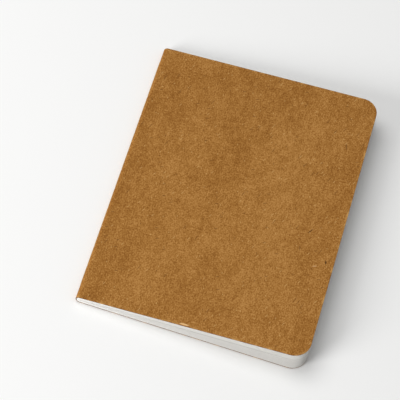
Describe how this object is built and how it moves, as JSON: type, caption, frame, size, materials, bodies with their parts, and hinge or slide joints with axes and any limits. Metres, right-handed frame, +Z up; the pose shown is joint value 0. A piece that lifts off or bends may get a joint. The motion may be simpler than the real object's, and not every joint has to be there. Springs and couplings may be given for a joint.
{
  "type": "pocket notebook",
  "caption": "Thread-sewn pocket notebook with a soft kraft card cover, rounded fore-edge corners and folded blank sheets that spring slightly open.",
  "frame": {"origin": "under the middle of the closed notebook, on the surface it lies on", "axes": "+X from the spine to the fore-edge, +Y from the tail to the head, +Z up from the back cover"},
  "size_m": [0.0902, 0.12, 0.0115],
  "materials": {
    "kraft_card": "uncoated brown kraft card, mottled and fibrous",
    "page_paper": "smooth uncoated white writing paper",
    "thread": "twisted natural linen thread"
  },
  "bodies": {
    "back": {"back_cover": "kraft_card", "back_leaf_01": "page_paper"},
    "leaf_front_01": {"front_leaf_01": "page_paper"},
    "cover_front": {"front_cover": "kraft_card"},
    "spine": {"cover_spine": "kraft_card", "sheet_folds": "page_paper", "thread_outside": "thread", "thread_inside": "thread"},
    "leaf_back_02": {"back_leaf_02": "page_paper"},
    "leaf_front_02": {"front_leaf_02": "page_paper"},
    "leaf_back_03": {"back_leaf_03": "page_paper"},
    "leaf_front_03": {"front_leaf_03": "page_paper"},
    "leaf_back_04": {"back_leaf_04": "page_paper"},
    "leaf_front_04": {"front_leaf_04": "page_paper"},
    "leaf_back_05": {"back_leaf_05": "page_paper"},
    "leaf_front_05": {"front_leaf_05": "page_paper"},
    "leaf_back_06": {"back_leaf_06": "page_paper"},
    "leaf_front_06": {"front_leaf_06": "page_paper"},
    "leaf_back_07": {"back_leaf_07": "page_paper"},
    "leaf_front_07": {"front_leaf_07": "page_paper"},
    "leaf_back_08": {"back_leaf_08": "page_paper"},
    "leaf_front_08": {"front_leaf_08": "page_paper"},
    "leaf_back_09": {"back_leaf_09": "page_paper"},
    "leaf_front_09": {"front_leaf_09": "page_paper"},
    "leaf_back_10": {"back_leaf_10": "page_paper"},
    "leaf_front_10": {"front_leaf_10": "page_paper"},
    "leaf_back_11": {"back_leaf_11": "page_paper"},
    "leaf_front_11": {"front_leaf_11": "page_paper"},
    "leaf_back_12": {"back_leaf_12": "page_paper"},
    "leaf_front_12": {"front_leaf_12": "page_paper"},
    "leaf_back_13": {"back_leaf_13": "page_paper"},
    "leaf_front_13": {"front_leaf_13": "page_paper"},
    "leaf_back_14": {"back_leaf_14": "page_paper"},
    "leaf_front_14": {"front_leaf_14": "page_paper"},
    "leaf_back_15": {"back_leaf_15": "page_paper"},
    "leaf_front_15": {"front_leaf_15": "page_paper"},
    "leaf_back_16": {"back_leaf_16": "page_paper"},
    "leaf_front_16": {"front_leaf_16": "page_paper"}
  },
  "joints": [
    {"name": "centre_opening", "type": "hinge", "parent": "back", "child": "leaf_front_01", "pos_m": [-0.04309, 0, 0.00185], "axis": [0, -1, 0], "range_deg": [0, 174.9]},
    {"name": "cover_opening", "type": "hinge", "parent": "leaf_front_01", "child": "cover_front", "pos_m": [-0.04325, 0, 0.00369], "axis": [0, 1, 0], "range_deg": [-177, 0]},
    {"name": "spine_roll", "type": "hinge", "parent": "back", "child": "spine", "pos_m": [-0.04309, 0, 0.00185], "axis": [0, -1, 0], "range_deg": [0, 87.46], "deforming": ["cover_spine", "sheet_folds"]},
    {"name": "sheet_02_lift", "type": "hinge", "parent": "back", "child": "leaf_back_02", "pos_m": [-0.04309, 0, 0.00185], "axis": [0, -1, 0], "range_deg": [0, 0.3434]},
    {"name": "sheet_02_fold", "type": "hinge", "parent": "leaf_back_02", "child": "leaf_front_02", "pos_m": [-0.04309, 0, 0.00185], "axis": [0, -1, 0], "range_deg": [0, 174.24]},
    {"name": "sheet_03_lift", "type": "hinge", "parent": "back", "child": "leaf_back_03", "pos_m": [-0.04309, 0, 0.00185], "axis": [0, -1, 0], "range_deg": [0, 0.6767]},
    {"name": "sheet_03_fold", "type": "hinge", "parent": "leaf_back_03", "child": "leaf_front_03", "pos_m": [-0.04309, 0, 0.00185], "axis": [0, -1, 0], "range_deg": [0, 173.58]},
    {"name": "sheet_04_lift", "type": "hinge", "parent": "back", "child": "leaf_back_04", "pos_m": [-0.04309, 0, 0.00185], "axis": [0, -1, 0], "range_deg": [0, 1.01]},
    {"name": "sheet_04_fold", "type": "hinge", "parent": "leaf_back_04", "child": "leaf_front_04", "pos_m": [-0.04309, 0, 0.00185], "axis": [0, -1, 0], "range_deg": [0, 172.91]},
    {"name": "sheet_05_lift", "type": "hinge", "parent": "back", "child": "leaf_back_05", "pos_m": [-0.04309, 0, 0.00185], "axis": [0, -1, 0], "range_deg": [0, 1.34]},
    {"name": "sheet_05_fold", "type": "hinge", "parent": "leaf_back_05", "child": "leaf_front_05", "pos_m": [-0.04309, 0, 0.00185], "axis": [0, -1, 0], "range_deg": [0, 172.24]},
    {"name": "sheet_06_lift", "type": "hinge", "parent": "back", "child": "leaf_back_06", "pos_m": [-0.04309, 0, 0.00185], "axis": [0, -1, 0], "range_deg": [0, 1.68]},
    {"name": "sheet_06_fold", "type": "hinge", "parent": "leaf_back_06", "child": "leaf_front_06", "pos_m": [-0.04309, 0, 0.00185], "axis": [0, -1, 0], "range_deg": [0, 171.58]},
    {"name": "sheet_07_lift", "type": "hinge", "parent": "back", "child": "leaf_back_07", "pos_m": [-0.04309, 0, 0.00185], "axis": [0, -1, 0], "range_deg": [0, 2.01]},
    {"name": "sheet_07_fold", "type": "hinge", "parent": "leaf_back_07", "child": "leaf_front_07", "pos_m": [-0.04309, 0, 0.00185], "axis": [0, -1, 0], "range_deg": [0, 170.91]},
    {"name": "sheet_08_lift", "type": "hinge", "parent": "back", "child": "leaf_back_08", "pos_m": [-0.04309, 0, 0.00185], "axis": [0, -1, 0], "range_deg": [0, 2.34]},
    {"name": "sheet_08_fold", "type": "hinge", "parent": "leaf_back_08", "child": "leaf_front_08", "pos_m": [-0.04309, 0, 0.00185], "axis": [0, -1, 0], "range_deg": [0, 170.24]},
    {"name": "sheet_09_lift", "type": "hinge", "parent": "back", "child": "leaf_back_09", "pos_m": [-0.04309, 0, 0.00185], "axis": [0, -1, 0], "range_deg": [0, 2.68]},
    {"name": "sheet_09_fold", "type": "hinge", "parent": "leaf_back_09", "child": "leaf_front_09", "pos_m": [-0.04309, 0, 0.00185], "axis": [0, -1, 0], "range_deg": [0, 169.58]},
    {"name": "sheet_10_lift", "type": "hinge", "parent": "back", "child": "leaf_back_10", "pos_m": [-0.04309, 0, 0.00185], "axis": [0, -1, 0], "range_deg": [0, 3.01]},
    {"name": "sheet_10_fold", "type": "hinge", "parent": "leaf_back_10", "child": "leaf_front_10", "pos_m": [-0.04309, 0, 0.00185], "axis": [0, -1, 0], "range_deg": [0, 168.91]},
    {"name": "sheet_11_lift", "type": "hinge", "parent": "back", "child": "leaf_back_11", "pos_m": [-0.04309, 0, 0.00185], "axis": [0, -1, 0], "range_deg": [0, 3.34]},
    {"name": "sheet_11_fold", "type": "hinge", "parent": "leaf_back_11", "child": "leaf_front_11", "pos_m": [-0.04309, 0, 0.00185], "axis": [0, -1, 0], "range_deg": [0, 168.24]},
    {"name": "sheet_12_lift", "type": "hinge", "parent": "back", "child": "leaf_back_12", "pos_m": [-0.04309, 0, 0.00185], "axis": [0, -1, 0], "range_deg": [0, 3.68]},
    {"name": "sheet_12_fold", "type": "hinge", "parent": "leaf_back_12", "child": "leaf_front_12", "pos_m": [-0.04309, 0, 0.00185], "axis": [0, -1, 0], "range_deg": [0, 167.58]},
    {"name": "sheet_13_lift", "type": "hinge", "parent": "back", "child": "leaf_back_13", "pos_m": [-0.04309, 0, 0.00185], "axis": [0, -1, 0], "range_deg": [0, 4.01]},
    {"name": "sheet_13_fold", "type": "hinge", "parent": "leaf_back_13", "child": "leaf_front_13", "pos_m": [-0.04309, 0, 0.00185], "axis": [0, -1, 0], "range_deg": [0, 166.91]},
    {"name": "sheet_14_lift", "type": "hinge", "parent": "back", "child": "leaf_back_14", "pos_m": [-0.04309, 0, 0.00185], "axis": [0, -1, 0], "range_deg": [0, 4.34]},
    {"name": "sheet_14_fold", "type": "hinge", "parent": "leaf_back_14", "child": "leaf_front_14", "pos_m": [-0.04309, 0, 0.00185], "axis": [0, -1, 0], "range_deg": [0, 166.24]},
    {"name": "sheet_15_lift", "type": "hinge", "parent": "back", "child": "leaf_back_15", "pos_m": [-0.04309, 0, 0.00185], "axis": [0, -1, 0], "range_deg": [0, 4.68]},
    {"name": "sheet_15_fold", "type": "hinge", "parent": "leaf_back_15", "child": "leaf_front_15", "pos_m": [-0.04309, 0, 0.00185], "axis": [0, -1, 0], "range_deg": [0, 165.58]},
    {"name": "sheet_16_lift", "type": "hinge", "parent": "back", "child": "leaf_back_16", "pos_m": [-0.04309, 0, 0.00185], "axis": [0, -1, 0], "range_deg": [0, 5.01]},
    {"name": "sheet_16_fold", "type": "hinge", "parent": "leaf_back_16", "child": "leaf_front_16", "pos_m": [-0.04309, 0, 0.00185], "axis": [0, -1, 0], "range_deg": [0, 164.91]}
  ],
  "couplings": [
    {"joint": "spine_roll", "follows": "centre_opening", "ratio": 0.5},
    {"joint": "sheet_02_lift", "follows": "centre_opening", "ratio": 0.001906},
    {"joint": "sheet_02_fold", "follows": "centre_opening", "ratio": 0.99619},
    {"joint": "sheet_03_lift", "follows": "centre_opening", "ratio": 0.003812},
    {"joint": "sheet_03_fold", "follows": "centre_opening", "ratio": 0.99238},
    {"joint": "sheet_04_lift", "follows": "centre_opening", "ratio": 0.005718},
    {"joint": "sheet_04_fold", "follows": "centre_opening", "ratio": 0.98856},
    {"joint": "sheet_05_lift", "follows": "centre_opening", "ratio": 0.007623},
    {"joint": "sheet_05_fold", "follows": "centre_opening", "ratio": 0.98475},
    {"joint": "sheet_06_lift", "follows": "centre_opening", "ratio": 0.009529},
    {"joint": "sheet_06_fold", "follows": "centre_opening", "ratio": 0.98094},
    {"joint": "sheet_07_lift", "follows": "centre_opening", "ratio": 0.011435},
    {"joint": "sheet_07_fold", "follows": "centre_opening", "ratio": 0.97713},
    {"joint": "sheet_08_lift", "follows": "centre_opening", "ratio": 0.013341},
    {"joint": "sheet_08_fold", "follows": "centre_opening", "ratio": 0.97332},
    {"joint": "sheet_09_lift", "follows": "centre_opening", "ratio": 0.015247},
    {"joint": "sheet_09_fold", "follows": "centre_opening", "ratio": 0.96951},
    {"joint": "sheet_10_lift", "follows": "centre_opening", "ratio": 0.017153},
    {"joint": "sheet_10_fold", "follows": "centre_opening", "ratio": 0.96569},
    {"joint": "sheet_11_lift", "follows": "centre_opening", "ratio": 0.019059},
    {"joint": "sheet_11_fold", "follows": "centre_opening", "ratio": 0.96188},
    {"joint": "sheet_12_lift", "follows": "centre_opening", "ratio": 0.020964},
    {"joint": "sheet_12_fold", "follows": "centre_opening", "ratio": 0.95807},
    {"joint": "sheet_13_lift", "follows": "centre_opening", "ratio": 0.02287},
    {"joint": "sheet_13_fold", "follows": "centre_opening", "ratio": 0.95426},
    {"joint": "sheet_14_lift", "follows": "centre_opening", "ratio": 0.024776},
    {"joint": "sheet_14_fold", "follows": "centre_opening", "ratio": 0.95045},
    {"joint": "sheet_15_lift", "follows": "centre_opening", "ratio": 0.026682},
    {"joint": "sheet_15_fold", "follows": "centre_opening", "ratio": 0.94664},
    {"joint": "sheet_16_lift", "follows": "centre_opening", "ratio": 0.028588},
    {"joint": "sheet_16_fold", "follows": "centre_opening", "ratio": 0.94282}
  ]
}
